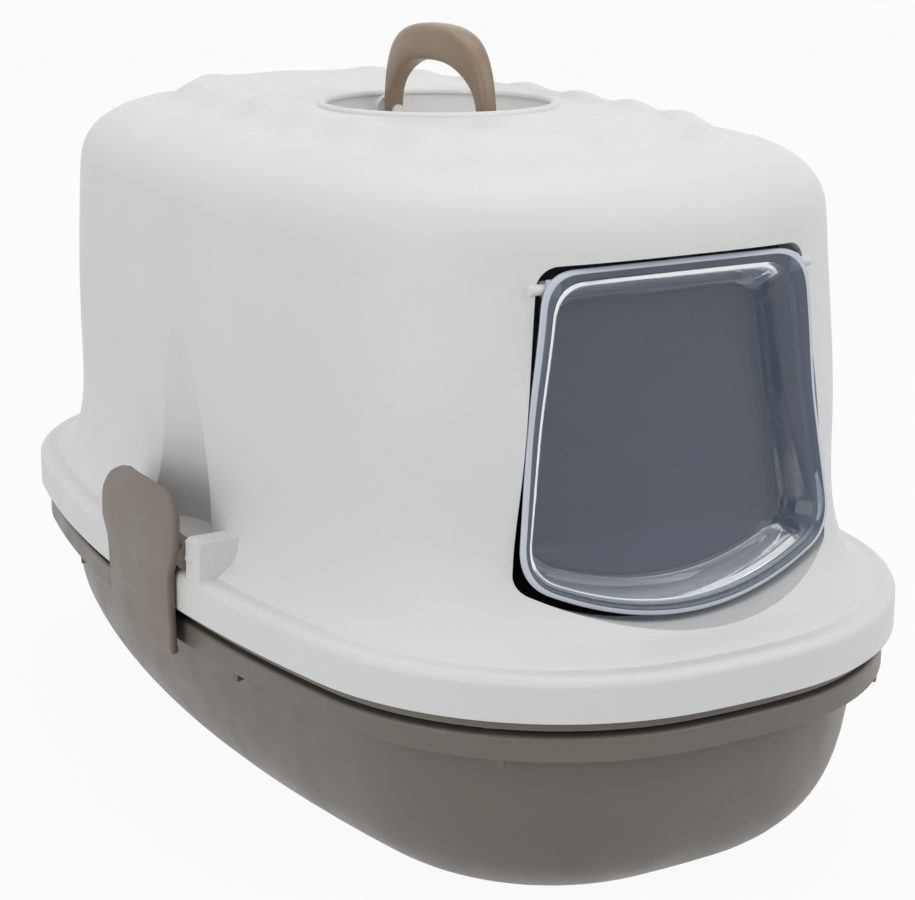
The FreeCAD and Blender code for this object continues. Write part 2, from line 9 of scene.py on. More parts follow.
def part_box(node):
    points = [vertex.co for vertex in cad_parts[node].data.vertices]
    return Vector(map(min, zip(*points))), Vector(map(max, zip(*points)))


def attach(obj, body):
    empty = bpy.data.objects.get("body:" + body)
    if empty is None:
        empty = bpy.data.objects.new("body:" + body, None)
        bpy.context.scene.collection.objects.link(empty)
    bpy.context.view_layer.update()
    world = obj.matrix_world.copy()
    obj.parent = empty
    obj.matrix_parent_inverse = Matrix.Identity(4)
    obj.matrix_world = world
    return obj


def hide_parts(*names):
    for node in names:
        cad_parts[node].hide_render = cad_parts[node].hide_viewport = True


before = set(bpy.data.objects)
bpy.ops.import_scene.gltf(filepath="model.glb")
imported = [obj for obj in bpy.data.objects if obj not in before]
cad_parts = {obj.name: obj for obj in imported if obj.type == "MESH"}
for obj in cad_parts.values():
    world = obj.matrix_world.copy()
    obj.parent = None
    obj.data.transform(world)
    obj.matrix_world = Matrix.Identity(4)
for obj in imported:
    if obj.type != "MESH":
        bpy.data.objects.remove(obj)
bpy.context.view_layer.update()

bl_info = {
    "name": "Hooded litter box dressing",
    "version": (1, 0, 0),
    "blender": (4, 5, 0),
    "location": "View3D > Sidebar > Litter box",
    "description": "Finishes for a hooded litter box with a swing door, a bail handle and two side clips",
    "category": "Object",
}

MM = 0.001


def node(tree, kind, **inputs):
    """Adds one shader node and sets its named input sockets."""
    made = tree.nodes.new(kind)
    for name, value in inputs.items():
        made.inputs[name.replace("_", " ")].default_value = value
    return made


def blank_material(name):
    """A new node material with only its output and a principled shader."""
    made = bpy.data.materials.new(name)
    made.use_nodes = True
    tree = made.node_tree
    tree.nodes.clear()
    out = tree.nodes.new("ShaderNodeOutputMaterial")
    shader = tree.nodes.new("ShaderNodeBsdfPrincipled")
    tree.links.new(shader.outputs["BSDF"], out.inputs["Surface"])
    return made, tree, shader


def noise(tree, coords, scale, detail, rough=0.5):
    """Noise in object space."""
    made = node(tree, "ShaderNodeTexNoise", Scale=scale, Detail=detail, Roughness=rough)
    tree.links.new(coords.outputs["Object"], made.inputs["Vector"])
    return made


def spread(tree, source, low, high, start=0.3, end=0.7):
    """Maps a noise value onto a range of numbers."""
    made = node(tree, "ShaderNodeMapRange", From_Min=start, From_Max=end, To_Min=low, To_Max=high)
    tree.links.new(source, made.inputs["Value"])
    return made.outputs["Result"]


def moulded_plastic(name, colour, shade, rough, grain, grain_depth, sheen_spread=0.06):
    """Moulded plastic: faint flow mottling, spark-eroded grain and uneven gloss."""
    made, tree, shader = blank_material(name)
    coords = tree.nodes.new("ShaderNodeTexCoord")
    flow = noise(tree, coords, 9.0, 3.0)
    tint = tree.nodes.new("ShaderNodeValToRGB")
    tint.color_ramp.elements[0].position = 0.3
    tint.color_ramp.elements[1].position = 0.7
    tint.color_ramp.elements[0].color = (*shade, 1.0)
    tint.color_ramp.elements[1].color = (*colour, 1.0)
    tree.links.new(flow.outputs["Fac"], tint.inputs["Fac"])
    tree.links.new(tint.outputs["Color"], shader.inputs["Base Color"])
    worn = noise(tree, coords, 42.0, 4.0)
    gloss = spread(tree, worn.outputs["Fac"], rough - sheen_spread, rough + sheen_spread)
    tree.links.new(gloss, shader.inputs["Roughness"])
    fine = noise(tree, coords, grain, 2.0, 0.6)
    bump = node(tree, "ShaderNodeBump", Strength=0.35, Distance=grain_depth)
    tree.links.new(fine.outputs["Fac"], bump.inputs["Height"])
    tree.links.new(bump.outputs["Normal"], shader.inputs["Normal"])
    return made


def clear_plastic(name, colour, rough):
    """Smoky see-through sheet with faint flow lines."""
    made, tree, shader = blank_material(name)
    coords = tree.nodes.new("ShaderNodeTexCoord")
    flow = noise(tree, coords, 14.0, 2.0)
    tint = tree.nodes.new("ShaderNodeValToRGB")
    tint.color_ramp.elements[0].color = (*[v * 0.9 for v in colour], 1.0)
    tint.color_ramp.elements[1].color = (*colour, 1.0)
    tree.links.new(flow.outputs["Fac"], tint.inputs["Fac"])
    tree.links.new(tint.outputs["Color"], shader.inputs["Base Color"])
    shader.inputs["Transmission Weight"].default_value = 0.75
    shader.inputs["IOR"].default_value = 1.45
    shader.inputs["Roughness"].default_value = rough
    bump = node(tree, "ShaderNodeBump", Strength=0.12, Distance=0.0006)
    tree.links.new(flow.outputs["Fac"], bump.inputs["Height"])
    tree.links.new(bump.outputs["Normal"], shader.inputs["Normal"])
    return made


def any_ray(tree, path):
    """1 for rays from the camera, off gloss or through clear plastic."""
    found = path.outputs["Is Camera Ray"]
    for name in ("Is Glossy Ray", "Is Transmission Ray"):
        either = tree.nodes.new("ShaderNodeMath")
        either.operation = "MAXIMUM"
        tree.links.new(found, either.inputs[0])
        tree.links.new(path.outputs[name], either.inputs[1])
        found = either.outputs["Value"]
    return found


def paint(obj, material):
    """Gives every material slot of an object one material."""
    if not obj.material_slots:
        obj.data.materials.append(material)
    for slot in obj.material_slots:
        slot.material = material


def smooth_step(t):
    """Rises softly from 0 to 1."""
    t = min(max(t, 0.0), 1.0)
    return t * t * (3.0 - 2.0 * t)


def ring_stack(rings, bands=()):
    """A closed bmesh skin through rings of points in mm.

    bands lists the rings whose faces, on the side of the ring before, take the second material.
    """
    shape = bmesh.new()
    count = len(rings[0])
    made = bmesh.ops.create_circle(shape, segments=count, radius=1.0)
    verts = list(made["verts"])
    for vert, point in zip(verts, rings[0]):
        vert.co = Vector(point) * MM
    edges = [shape.edges.get((verts[i], verts[(i + 1) % count])) for i in range(count)]
    first = list(edges)
    for number, ring in enumerate(rings[1:], 1):
        grown = bmesh.ops.extrude_edge_only(shape, edges=edges)["geom"]
        fresh = {v for v in grown if isinstance(v, bmesh.types.BMVert)}
        for face in grown:
            if isinstance(face, bmesh.types.BMFace):
                face.material_index = 1 if number in bands else 0
        above = []
        for vert in verts:
            mate = next(e.other_vert(vert) for e in vert.link_edges if e.other_vert(vert) in fresh)
            above.append(mate)
        for vert, point in zip(above, ring):
            vert.co = Vector(point) * MM
        verts = above
        edges = [shape.edges.get((verts[i], verts[(i + 1) % count])) for i in range(count)]
    bmesh.ops.contextual_create(shape, geom=edges)
    bmesh.ops.contextual_create(shape, geom=first)
    bmesh.ops.recalc_face_normals(shape, faces=shape.faces[:])
    return shape


def sleeve(shape, centre, along, start, stop, inner, outer, turn, first):
    """Adds a bored sleeve to a bmesh: a four-cornered section spun about an axis through the centre."""
    corners = []
    for reach, radius in ((start, inner), (stop, inner), (stop, outer), (start, outer)):
        corners.append(shape.verts.new(centre + along * reach + first * radius))
    section = shape.faces.new(corners)
    spun = [section, *section.edges, *corners]
    whole = turn >= 2 * math.pi
    if whole:
        spun = [*section.edges, *corners]
        bmesh.ops.delete(shape, geom=[section], context="FACES_ONLY")
    bmesh.ops.spin(shape, geom=spun, cent=centre, axis=along, angle=turn, steps=48, use_merge=whole)


def finished(name, shape, body, material, sharp=40.0):
    """Makes a bmesh an object of the part, smooth shaded, riding on a body."""
    mesh = bpy.data.meshes.new(name)
    shape.to_mesh(mesh)
    shape.free()
    mesh.polygons.foreach_set("use_smooth", [True] * len(mesh.polygons))
    mesh.set_sharp_from_angle(angle=math.radians(sharp))
    mesh.materials.append(material)
    obj = bpy.data.objects.new(name, mesh)
    bpy.context.scene.collection.objects.link(obj)
    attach(obj, body)
    return obj


# share of the clip's height, share of its half length
CLIP_WIDTHS = ((0.0, 0.80), (0.16, 0.83), (0.46, 0.84), (0.52, 0.86), (0.57, 0.92), (0.62, 0.98),
               (0.68, 1.0), (0.75, 1.0), (0.82, 0.98), (0.87, 0.94), (0.91, 0.88), (0.94, 0.81),
               (0.97, 0.70), (0.985, 0.61), (1.0, 0.46))
# sizes of the clips in metres: thickness of the plate, how far its ends bow back, its rounded edge, how far
# the hook reaches in from the face, where the hook meets the plate, how tall it is and its gap at the foot
CLIP_THICK = 0.004
CLIP_BOW = 0.0016
CLIP_EDGE = 0.0011
CLIP_HOOK_REACH = 0.0086
CLIP_HOOK_ROOT = 0.0042
CLIP_HOOK_TALL = 0.0028
CLIP_HOOK_LIFT = 0.0003
CLIP_HOOK_SHARE = 0.74
CLIP_SHARP = math.radians(55)
CLIP_GRID = (44, 72)
# share of the clip's height, how far its face stands back in metres
CLIP_DEPTHS = ((0.0, 0.0022), (0.06, 0.0016), (0.3, 0.0006), (0.6, 0.0), (0.8, 0.001), (0.92, 0.0035),
               (1.0, 0.0075))


# sizes of the handle in mm: pins above its soles, thickness of a leg and of the grip, half depth of a leg and
# what the grip adds to it; then the power that squares its section and the counts of its rings and points
HANDLE_PIVOT_RISE = 7.0
HANDLE_LEG = 8.5
HANDLE_GRIP = 19.0
HANDLE_LEG_DEPTH = 4.6
HANDLE_GRIP_SWELL = 3.9
HANDLE_SQUARE = 0.6
HANDLE_STEPS = 64
HANDLE_FOOT_STEPS = 4
HANDLE_POINTS = 28

# the roof's relief in metres: how far from the bowl it starts, how far it takes to swell, where its
# sheet ends and how deep its border is sunk; then the share of its border, its mean rise and its grid
RELIEF_START = 0.005
RELIEF_SWELL = 0.016
RELIEF_MARGIN = 0.002
RELIEF_SINK = 0.0003
RELIEF_BORDER = 0.4
RELIEF_MEAN = 0.6
RELIEF_GRID = (104, 190)


def squared(value, power):
    """A signed power of a sine or cosine, which squares a round section."""
    return math.copysign(abs(value) ** power, value)


def between(table, share):
    """Value of a table of (share, value) rows, straight between its rows."""
    for (start, first), (stop, last) in zip(table, table[1:]):
        if share <= stop:
            return first + (last - first) * (share - start) / (stop - start)
    return table[-1][1]


# how far a ring of the door is trimmed, how much more at the hinge end, how deep it lies; mm, from the dish's
# floor out over the lip and back behind it
DOOR_RINGS = ((16.0, 2.5, 21.8), (13.0, 2.5, 21.5), (11.2, 2.5, 19.8), (10.4, 2.5, 17.0), (5.2, 2.5, 3.4),
              (4.2, 2.0, 0.9), (3.2, 1.5, 0.0), (2.2, 0.0, 0.0), (0.6, 0.0, 0.1), (0.0, 0.0, 0.7),
              (0.0, 0.0, 1.6),
              (0.6, 0.0, 2.2), (5.6, 2.5, 2.3), (7.2, 2.5, 4.0), (12.4, 2.5, 18.0), (13.4, 2.5, 21.0),
              (14.8, 2.5, 23.2), (17.0, 2.5, 24.0))
# rings of the lip, which take the pale second material: painted highlight standing in for the bright line
# along the door's edge
DOOR_HIGHLIGHT_RINGS = (8, 9, 10, 11)
DOOR_POINTS = 200


def even(points, count):
    """Closed line of points walked again in even steps."""
    legs = [(b - a).length for a, b in zip(points, points[1:] + points[:1])]
    stride = sum(legs) / count
    out, leg, gone = [], 0, 0.0
    for step in range(count):
        while step * stride > gone + legs[leg]:
            gone += legs[leg]
            leg += 1
        share = (step * stride - gone) / legs[leg]
        out.append(points[leg].lerp(points[(leg + 1) % len(points)], share))
    return out


def eased(points, reach):
    """Closed line with its corners rounded by averaging neighbours."""
    count = len(points)
    window = range(-reach, reach + 1)
    out = []
    for i in range(count):
        near = sum((points[(i + k) % count] for k in window), Vector((0.0, 0.0)))
        out.append(near / len(window))
    return out


def door_ring(door, trim, pinch, depth):
    """One outline of the door in mm, leaning with the doorway and bowed with the hood's front."""
    top = (door.top_rise / MM) - trim - pinch / 2
    top_half = door.top_half_width / MM - trim - pinch
    low_half = door.low_half_width / MM - trim
    low = trim * 0.45 - door.side_drop / MM
    sag = low - (trim - (door.side_drop + door.arc_drop) / MM)
    line = [Vector((0.0, top)), Vector((top_half, top))]
    for step in range(25):
        x = 1.0 - step / 12
        line.append(Vector((low_half * x, low - sag * (1.0 - x * x))))
    line.append(Vector((-top_half, top)))
    ring = []
    for x, z in eased(even(line, DOOR_POINTS), 5):
        bow = (x * MM / door.low_half_width) ** 2 * smooth_step(-z / 70.0) * door.bow / MM
        y = depth + bow
        back = y * math.cos(door.lean) + z * math.sin(door.lean)
        up = z * math.cos(door.lean) - y * math.sin(door.lean)
        ring.append(Vector((x, back, up)) + Vector(door.place) / MM)
    return ring


def linear(colour):
    """Linear numbers of a screen colour given from 0 to 255."""
    out = []
    for part in colour:
        share = part / 255.0
        out.append(share / 12.92 if share <= 0.04045 else ((share + 0.055) / 1.055) ** 2.4)
    return tuple(out)


class LITTERBOX_PG_finish(bpy.types.PropertyGroup):
    """Colours of the plastics."""
    hood_colour: bpy.props.FloatVectorProperty(
        name="Hood", description="Off-white of the hood", subtype="COLOR", size=3, min=0, max=1,
        default=linear((226, 226, 224)))
    tray_colour: bpy.props.FloatVectorProperty(
        name="Trays", description="Warm grey of the trays and the clips", subtype="COLOR", size=3,
        min=0, max=1, default=linear((112, 106, 98)))
    handle_colour: bpy.props.FloatVectorProperty(
        name="Handle", description="Brown of the carry handle", subtype="COLOR", size=3, min=0, max=1,
        default=linear((140, 118, 96)))
    door_colour: bpy.props.FloatVectorProperty(
        name="Door", description="Tint of the see-through door", subtype="COLOR", size=3, min=0, max=1,
        default=linear((150, 160, 178)))


class LITTERBOX_PG_sizes(bpy.types.PropertyGroup):
    """Sizes of the dressed pieces."""
    relief_half_width: bpy.props.FloatProperty(
        name="Relief half width", description="From the middle of the roof to the relief's side",
        unit="LENGTH", default=0.118)
    relief_half_length: bpy.props.FloatProperty(
        name="Relief half length", description="From the middle of the roof to the relief's end",
        unit="LENGTH", default=0.222)
    relief_pitch: bpy.props.FloatProperty(
        name="Relief pitch", description="From one pillow to the next dip", unit="LENGTH", default=0.0265)
    relief_height: bpy.props.FloatProperty(
        name="Relief height", description="How far a pillow swells", unit="LENGTH", default=0.0016)
    bowl_centre: bpy.props.FloatVectorProperty(
        name="Bowl centre", description="Middle of the handle's bowl",
        unit="LENGTH", size=2, default=(0.0, -0.016))
    clip_pivot_out: bpy.props.FloatProperty(
        name="Clip pivot out", description="From the middle of the box out to a clip's pin",
        unit="LENGTH", default=0.169)
    clip_pivot_height: bpy.props.FloatProperty(
        name="Clip pivot height", description="Height of the clips' pins", unit="LENGTH", default=0.142)
    clip_bore: bpy.props.FloatProperty(
        name="Clip bore", description="Inner radius of a clip's barrel", unit="LENGTH", default=0.0033)
    clip_barrel: bpy.props.FloatProperty(
        name="Clip barrel", description="Outer radius of a clip's barrel", unit="LENGTH", default=0.0072)
    bowl_radius: bpy.props.FloatProperty(
        name="Bowl radius", description="Edge of the handle's bowl", unit="LENGTH", default=0.0625)


class LITTERBOX_PG_door(bpy.types.PropertyGroup):
    """Sizes of the swing door."""
    place: bpy.props.FloatVectorProperty(
        name="Place", description="Middle of the lip's face at the hinge", subtype="XYZ",
        unit="LENGTH", size=3, default=(0.0, -0.2325, 0.293))
    lean: bpy.props.FloatProperty(
        name="Lean", description="How far the door leans back", subtype="ANGLE", default=math.radians(7.0))
    top_rise: bpy.props.FloatProperty(
        name="Top rise", description="From the hinge up to the top edge", unit="LENGTH", default=0.0075)
    top_half_width: bpy.props.FloatProperty(
        name="Top half width", description="Half width at the top edge", unit="LENGTH", default=0.0711)
    low_half_width: bpy.props.FloatProperty(
        name="Low half width", description="Half width at the low corners", unit="LENGTH", default=0.0872)
    side_drop: bpy.props.FloatProperty(
        name="Side drop", description="From the hinge down to the low corners", unit="LENGTH", default=0.128)
    arc_drop: bpy.props.FloatProperty(
        name="Arc drop", description="From the low corners down to the middle of the edge",
        unit="LENGTH", default=0.025)
    pin_back: bpy.props.FloatProperty(
        name="Pin back", description="From the lip's face back to the hinge pins",
        unit="LENGTH", default=0.0052)
    hook_start: bpy.props.FloatProperty(
        name="Hook start", description="From the middle of the door out to a hook",
        unit="LENGTH", default=0.0628)
    hook_length: bpy.props.FloatProperty(
        name="Hook length", description="Length of a hook along its pin", unit="LENGTH", default=0.006)
    hook_bore: bpy.props.FloatProperty(
        name="Hook bore", description="Inner radius of a hook", unit="LENGTH", default=0.0029)
    hook_radius: bpy.props.FloatProperty(
        name="Hook radius", description="Outer radius of a hook", unit="LENGTH", default=0.00475)
    bow: bpy.props.FloatProperty(
        name="Bow", description="How far the low corners stand back", unit="LENGTH", default=0.008)


class LITTERBOX_PG_view(bpy.types.PropertyGroup):
    """Where the camera stands."""
    turn: bpy.props.FloatProperty(
        name="Turn", description="Camera's angle round the box from the door", subtype="ANGLE",
        default=math.radians(-29.41))
    rise: bpy.props.FloatProperty(
        name="Rise", description="Camera's angle above the floor", subtype="ANGLE",
        default=math.radians(14.17))
    away: bpy.props.FloatProperty(
        name="Distance", description="Camera's distance from what it looks at", unit="LENGTH", default=1.1648)
    lens: bpy.props.FloatProperty(
        name="Lens", description="Focal length for a 36 mm sensor", unit="CAMERA", default=83.38)
    aim: bpy.props.FloatVectorProperty(
        name="Aim", description="Point that the camera looks at", subtype="XYZ", unit="LENGTH", size=3,
        default=(0.0, 0.0, 0.18))
    shift: bpy.props.FloatVectorProperty(
        name="Shift", description="Lens shift, as shares of the frame's width", size=2,
        default=(0.0373, -0.043))


class LITTERBOX_OT_trays(bpy.types.Operator):
    """Finishes the two trays and the sifter"""
    bl_idname = "litterbox.trays"
    bl_label = "Trays and sifter"

    def execute(self, context):
        colour = tuple(context.scene.litterbox_finish.tray_colour)
        shade = tuple(v * 0.93 for v in colour)
        tray = moulded_plastic("tray_grey", colour, shade, 0.42, 900.0, 0.0004)
        for name in ("base_tray", "inner_tray"):
            paint(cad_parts[name], tray)
        sift = moulded_plastic("sifter_grey", tuple(v * 1.1 for v in colour), colour, 0.45, 900.0, 0.0004)
        for name in ("sifter_walls", "sifter_floor"):
            paint(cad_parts[name], sift)
        return {"FINISHED"}


class LITTERBOX_OT_hood(bpy.types.Operator):
    """Finishes the hood"""
    bl_idname = "litterbox.hood"
    bl_label = "Hood"

    def execute(self, context):
        colour = tuple(context.scene.litterbox_finish.hood_colour)
        shade = tuple(v * 0.975 for v in colour)
        white = moulded_plastic("hood_white", colour, shade, 0.48, 1100.0, 0.0003)
        paint(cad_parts["hood"], white)
        self.roof_relief(context, white)
        return {"FINISHED"}

    def roof_relief(self, context, white):
        """Soft staggered pillows pressed into the roof, laid on the hood and dying out at their border."""
        sizes = context.scene.litterbox_sizes
        half_x, half_y = sizes.relief_half_width, sizes.relief_half_length
        bowl = Vector(sizes.bowl_centre)
        hood = BVHTree.FromObject(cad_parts["hood"], context.evaluated_depsgraph_get())
        shape = bmesh.new()
        bmesh.ops.create_grid(shape, x_segments=RELIEF_GRID[0], y_segments=RELIEF_GRID[1], size=1.0)
        spare = []
        for vert in shape.verts:
            x, y = vert.co.x * half_x, vert.co.y * half_y
            edge = smooth_step((1.0 - abs(vert.co.x) ** 3 - abs(vert.co.y) ** 3) / RELIEF_BORDER)
            round_bowl = (Vector((x, y)) - bowl).length - sizes.bowl_radius
            fade = edge * smooth_step((round_bowl - RELIEF_START) / RELIEF_SWELL)
            hit = hood.ray_cast(Vector((x, y, 1.0)), Vector((0.0, 0.0, -1.0)))[0]
            if hit is None or (fade == 0.0 and (round_bowl < RELIEF_MARGIN or edge == 0.0)):
                spare.append(vert)
                continue
            pitch = sizes.relief_pitch
            wave = math.cos(math.pi * x / pitch) * math.cos(math.pi * y / pitch)
            lift = sizes.relief_height * (RELIEF_MEAN + wave) * fade
            vert.co = (x, y, hit.z + lift - RELIEF_SINK * (1.0 - fade))
        bmesh.ops.delete(shape, geom=spare, context="VERTS")
        finished("roof_relief", shape, "hood", white, 80.0)


class LITTERBOX_OT_door(bpy.types.Operator):
    """Finishes the swing door"""
    bl_idname = "litterbox.door"
    bl_label = "Door"

    def execute(self, context):
        colour = tuple(context.scene.litterbox_finish.door_colour)
        tint = clear_plastic("door_tint", colour, 0.04)
        # pale grey-blue painted highlight for the bright line along the door's lip; the hooks take the same
        # painted highlight
        edge = moulded_plastic("door_edge_painted_highlight", (0.66, 0.7, 0.76), (0.56, 0.6, 0.67), 0.2, 500.0, 0.0001)
        rings = [door_ring(context.scene.litterbox_door, *row) for row in DOOR_RINGS]
        panel = finished("door_dish", ring_stack(rings, DOOR_HIGHLIGHT_RINGS), "door", tint, 60.0)
        panel.data.materials.append(edge)
        hooks = self.hooks(context.scene.litterbox_door)
        knuckles = finished("door_hooks", hooks, "door", edge, 40.0)
        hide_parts("door")
        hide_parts("door")
        return {"FINISHED"}

    def hooks(self, door):
        """Two open hooks behind the lip that hang the door on the hood's pins."""
        back = Vector((0.0, math.cos(door.lean), -math.sin(door.lean)))
        up = Vector((0.0, math.sin(door.lean), math.cos(door.lean)))
        centre = Vector(door.place) + back * door.pin_back
        shape = bmesh.new()
        for side in (-1.0, 1.0):
            along = Vector((side, 0.0, 0.0))
            opening = (up + back).normalized()
            sleeve(shape, centre, along, door.hook_start, door.hook_start + door.hook_length, door.hook_bore,
                   door.hook_radius, math.radians(285.0), opening)
        bmesh.ops.recalc_face_normals(shape, faces=shape.faces[:])
        return shape


class LITTERBOX_OT_handle(bpy.types.Operator):
    """Finishes the carry handle"""
    bl_idname = "litterbox.handle"
    bl_label = "Handle"

    def execute(self, context):
        colour = tuple(context.scene.litterbox_finish.handle_colour)
        shade = tuple(v * 0.9 for v in colour)
        brown = moulded_plastic("handle_brown", colour, shade, 0.32, 700.0, 0.0002)
        low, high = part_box("handle")
        middle = (low[1] + high[1]) / 2 / MM
        half, sole, top = (high[1] - low[1]) / 2 / MM, low[2] / MM, high[2] / MM
        pivot = sole + HANDLE_PIVOT_RISE
        rings = []
        for step in range(-HANDLE_FOOT_STEPS, HANDLE_STEPS + HANDLE_FOOT_STEPS + 1):
            turn = math.pi * min(max(step, 0), HANDLE_STEPS) / HANDLE_STEPS
            drop = (pivot - sole) * (max(0, -step) + max(0, step - HANDLE_STEPS)) / HANDLE_FOOT_STEPS
            lift = max(math.sin(turn), 0.0)
            bow = squared(math.cos(turn), 0.78)
            outer = Vector((0.0, half * bow, (top - pivot) * lift ** 0.72 - drop))
            inner = Vector((0.0, (half - HANDLE_LEG) * bow, (top - pivot - HANDLE_GRIP) * lift ** 0.9 - drop))
            middle_line = Vector((0.0, middle, pivot)) + (outer + inner) / 2
            reach = (outer - inner) / 2
            depth = HANDLE_LEG_DEPTH + HANDLE_GRIP_SWELL * smooth_step(lift ** 2)
            ring = []
            for k in range(HANDLE_POINTS):
                phase = 2 * math.pi * k / HANDLE_POINTS
                side = Vector((depth * squared(math.sin(phase), HANDLE_SQUARE), 0.0, 0.0))
                ring.append(middle_line + reach * squared(math.cos(phase), HANDLE_SQUARE) + side)
            rings.append(ring)
        bail = finished("bail_handle", ring_stack(rings), "handle", brown, 60.0)
        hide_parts("handle")
        return {"FINISHED"}


class LITTERBOX_OT_clips(bpy.types.Operator):
    """Finishes the two side clips"""
    bl_idname = "litterbox.clips"
    bl_label = "Clips"

    def execute(self, context):
        colour = tuple(context.scene.litterbox_finish.tray_colour)
        warm = (colour[0] * 1.12, colour[1] * 1.02, colour[2])
        shade = tuple(v * 0.92 for v in warm)
        clip = moulded_plastic("clip_grey", warm, shade, 0.4, 800.0, 0.0003)
        for name, side in (("clip_left", -1.0), ("clip_right", 1.0)):
            shape = self.plate(name, side)
            self.barrel(context.scene.litterbox_sizes, shape, name, side)
            plate = finished(name + "_plate", shape, name, clip, 50.0)
            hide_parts(name)
        return {"FINISHED"}

    def barrel(self, sizes, shape, name, side):
        """The bored barrel behind the plate that turns on the hood's pin."""
        low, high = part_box(name)
        centre = Vector((side * sizes.clip_pivot_out, (low[1] + high[1]) / 2, sizes.clip_pivot_height))
        half = (high[1] - low[1]) / 2
        sleeve(shape, centre, Vector((0.0, 1.0, 0.0)), -half, half, sizes.clip_bore, sizes.clip_barrel,
               2 * math.pi, Vector((1.0, 0.0, 0.0)))
        bmesh.ops.recalc_face_normals(shape, faces=shape.faces[:])

    def plate(self, name, side):
        """A bowed plate with a wide rounded lobe on top and a hook at its foot."""
        low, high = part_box(name)
        face = max(abs(low[0]), abs(high[0]))
        middle, half = (low[1] + high[1]) / 2, (high[1] - low[1]) / 2
        tall = high[2] - low[2]
        shape = bmesh.new()
        bmesh.ops.create_grid(shape, x_segments=CLIP_GRID[0], y_segments=CLIP_GRID[1], size=1.0)
        for vert in shape.verts:
            across, up = vert.co.x, (vert.co.y + 1.0) / 2
            width = half * between(CLIP_WIDTHS, up)
            depth = between(CLIP_DEPTHS, up)
            z = low[2] + tall * up
            bow = CLIP_BOW * across * across
            vert.co = (side * (face - depth - bow), middle + across * width, z)
        bmesh.ops.recalc_face_normals(shape, faces=shape.faces[:])
        if sum(f.normal.x for f in shape.faces) * side < 0:
            bmesh.ops.reverse_faces(shape, faces=shape.faces[:])
        bmesh.ops.solidify(shape, geom=shape.faces[:], thickness=CLIP_THICK)
        rim = [e for e in shape.edges if len(e.link_faces) == 2 and e.calc_face_angle(0.0) > CLIP_SHARP]
        bmesh.ops.bevel(shape, geom=rim, affect="EDGES", offset=CLIP_EDGE, segments=2, profile=0.5,
                        material=-1)
        hook = bmesh.ops.create_cube(shape, size=1.0)["verts"]
        for vert in hook:
            x = face - CLIP_HOOK_REACH + (vert.co.x + 0.5) * (CLIP_HOOK_REACH - CLIP_HOOK_ROOT)
            y = middle + vert.co.y * 2 * half * CLIP_HOOK_SHARE
            z = low[2] + CLIP_HOOK_LIFT + (vert.co.z + 0.5) * CLIP_HOOK_TALL
            vert.co = (side * x, y, z)
        return shape


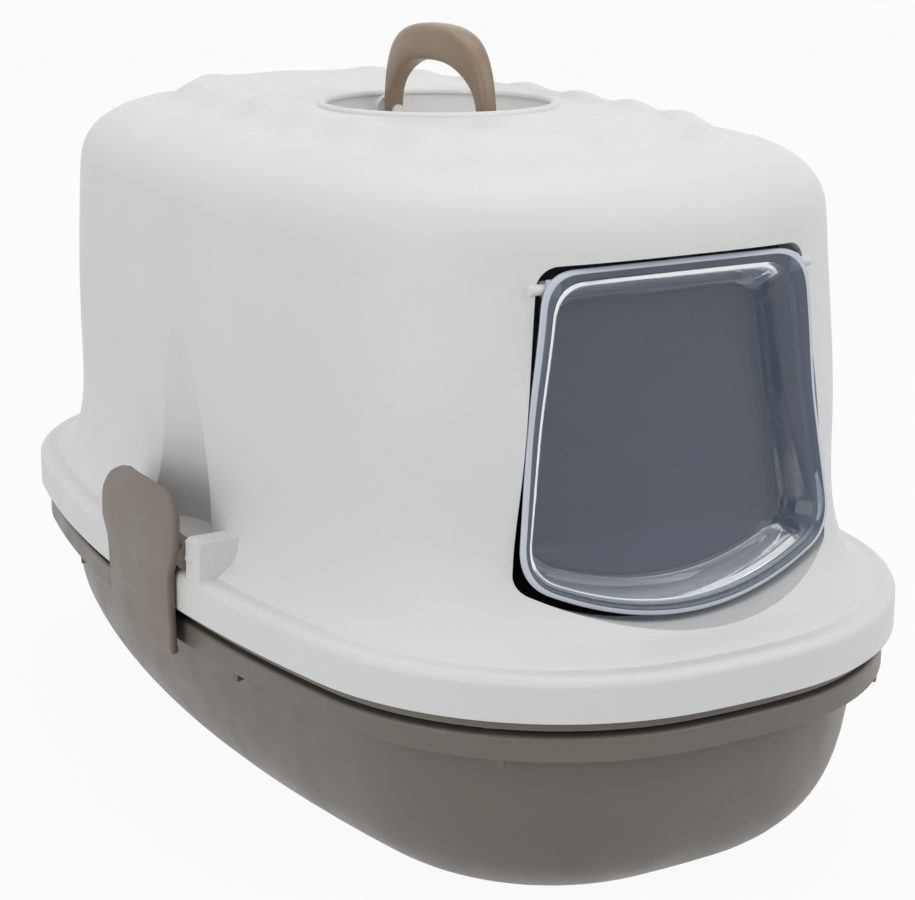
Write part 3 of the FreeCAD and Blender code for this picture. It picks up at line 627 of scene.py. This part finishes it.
class LITTERBOX_OT_stage(bpy.types.Operator):
    """Sets the floor, the light and the camera"""
    bl_idname = "litterbox.stage"
    bl_label = "Stage"

    def execute(self, context):
        self.floor(context)
        self.world(context)
        self.lamps(context)
        self.camera(context)
        context.scene.view_settings.view_transform = "Standard"
        return {"FINISHED"}

    def floor(self, context):
        """A wide pale floor, shown near white to the camera with the box's shadow on it."""
        shape = bmesh.new()
        bmesh.ops.create_grid(shape, x_segments=2, y_segments=2, size=8.0)
        mesh = bpy.data.meshes.new("floor")
        shape.to_mesh(mesh)
        shape.free()
        floor = bpy.data.objects.new("floor", mesh)
        context.scene.collection.objects.link(floor)
        made, tree, shader = blank_material("floor_white")
        shader.inputs["Base Color"].default_value = (0.62, 0.62, 0.62, 1.0)
        shader.inputs["Roughness"].default_value = 0.7
        shader.inputs["Specular IOR Level"].default_value = 0.2
        path = tree.nodes.new("ShaderNodeLightPath")
        glow = node(tree, "ShaderNodeEmission", Color=(1.0, 1.0, 1.0, 1.0), Strength=1.0)
        seen = tree.nodes.new("ShaderNodeMath")
        seen.operation = "MULTIPLY"
        seen.inputs[1].default_value = 0.94
        mix = tree.nodes.new("ShaderNodeMixShader")
        out = next(n for n in tree.nodes if n.type == "OUTPUT_MATERIAL")
        tree.links.new(any_ray(tree, path), seen.inputs[0])
        tree.links.new(seen.outputs["Value"], mix.inputs["Fac"])
        tree.links.new(shader.outputs["BSDF"], mix.inputs[1])
        tree.links.new(glow.outputs["Emission"], mix.inputs[2])
        tree.links.new(mix.outputs["Shader"], out.inputs["Surface"])
        mesh.materials.append(made)

    def world(self, context):
        """White behind the box, soft grey light round it."""
        world = bpy.data.worlds.new("studio")
        context.scene.world = world
        world.use_nodes = True
        tree = world.node_tree
        tree.nodes.clear()
        out = tree.nodes.new("ShaderNodeOutputWorld")
        path = tree.nodes.new("ShaderNodeLightPath")
        soft = node(tree, "ShaderNodeBackground", Color=(0.95, 0.97, 1.0, 1.0), Strength=0.5)
        white = node(tree, "ShaderNodeBackground", Color=(1.0, 1.0, 1.0, 1.0), Strength=1.0)
        mix = tree.nodes.new("ShaderNodeMixShader")
        tree.links.new(any_ray(tree, path), mix.inputs["Fac"])
        tree.links.new(soft.outputs["Background"], mix.inputs[1])
        tree.links.new(white.outputs["Background"], mix.inputs[2])
        tree.links.new(mix.outputs["Shader"], out.inputs["Surface"])

    def lamps(self, context):
        """Large soft boxes: key at the right front, fill at the left, one overhead."""
        aim = Vector((0.0, 0.0, 0.2))
        boxes = (
            ("key", (0.9, -1.5, 1.5), 1.4, 10.5),
            ("fill", (-1.8, -0.6, 0.6), 1.4, 9.5),
            ("top", (0.1, 0.2, 2.1), 1.8, 12.0),
            ("glint", (1.1, -1.5, 0.5), 0.5, 1.0),
        )
        for name, place, side, watts in boxes:
            light = bpy.data.lights.new(name, "AREA")
            light.shape = "SQUARE"
            light.size = side
            light.energy = watts
            lamp = bpy.data.objects.new(name, light)
            lamp.location = place
            lamp.rotation_euler = (aim - Vector(place)).to_track_quat("-Z", "Y").to_euler()
            context.scene.collection.objects.link(lamp)

    def camera(self, context):
        """The camera at the front left, slightly above the roof."""
        view = context.scene.litterbox_view
        aim = Vector(view.aim)
        flat = view.away * math.cos(view.rise)
        rise = view.away * math.sin(view.rise)
        place = aim + Vector((flat * math.sin(view.turn), -flat * math.cos(view.turn), rise))
        data = bpy.data.cameras.new("camera")
        data.sensor_width = 36.0
        data.sensor_fit = "HORIZONTAL"
        data.lens = view.lens
        data.shift_x = view.shift[0]
        data.shift_y = view.shift[1]
        data.clip_start = 0.01
        camera = bpy.data.objects.new("camera", data)
        camera.location = place
        camera.rotation_euler = (aim - place).to_track_quat("-Z", "Y").to_euler()
        context.scene.collection.objects.link(camera)
        context.scene.camera = camera


class LITTERBOX_PT_panel(bpy.types.Panel):
    """Lists the pieces and their settings"""
    bl_idname = "LITTERBOX_PT_panel"
    bl_label = "Litter box"
    bl_space_type = "VIEW_3D"
    bl_region_type = "UI"
    bl_category = "Litter box"

    def draw(self, context):
        column = self.layout.column()
        scene = context.scene
        for settings in (scene.litterbox_finish, scene.litterbox_sizes, scene.litterbox_door,
                         scene.litterbox_view):
            for name in settings.bl_rna.properties.keys():
                if name not in ("rna_type", "name"):
                    column.prop(settings, name)
        for step in STEPS:
            column.operator(step.bl_idname)


STEPS = (LITTERBOX_OT_trays, LITTERBOX_OT_hood, LITTERBOX_OT_door, LITTERBOX_OT_handle,
         LITTERBOX_OT_clips, LITTERBOX_OT_stage)
CLASSES = (LITTERBOX_PG_finish, LITTERBOX_PG_sizes, LITTERBOX_PG_door, LITTERBOX_PG_view,
           *STEPS, LITTERBOX_PT_panel)


def register():
    """Registers the classes and hangs the settings on the scene."""
    for made in CLASSES:
        bpy.utils.register_class(made)
    bpy.types.Scene.litterbox_finish = bpy.props.PointerProperty(type=LITTERBOX_PG_finish)
    bpy.types.Scene.litterbox_sizes = bpy.props.PointerProperty(type=LITTERBOX_PG_sizes)
    bpy.types.Scene.litterbox_door = bpy.props.PointerProperty(type=LITTERBOX_PG_door)
    bpy.types.Scene.litterbox_view = bpy.props.PointerProperty(type=LITTERBOX_PG_view)


def unregister():
    """Takes the settings and the classes away again."""
    del bpy.types.Scene.litterbox_view
    del bpy.types.Scene.litterbox_door
    del bpy.types.Scene.litterbox_sizes
    del bpy.types.Scene.litterbox_finish
    for made in reversed(CLASSES):
        bpy.utils.unregister_class(made)


def main():
    """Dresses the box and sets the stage."""
    register()
    bpy.ops.litterbox.trays()
    bpy.ops.litterbox.hood()
    bpy.ops.litterbox.door()
    bpy.ops.litterbox.handle()
    bpy.ops.litterbox.clips()
    bpy.ops.litterbox.stage()


if __name__ == "__main__":
    main()
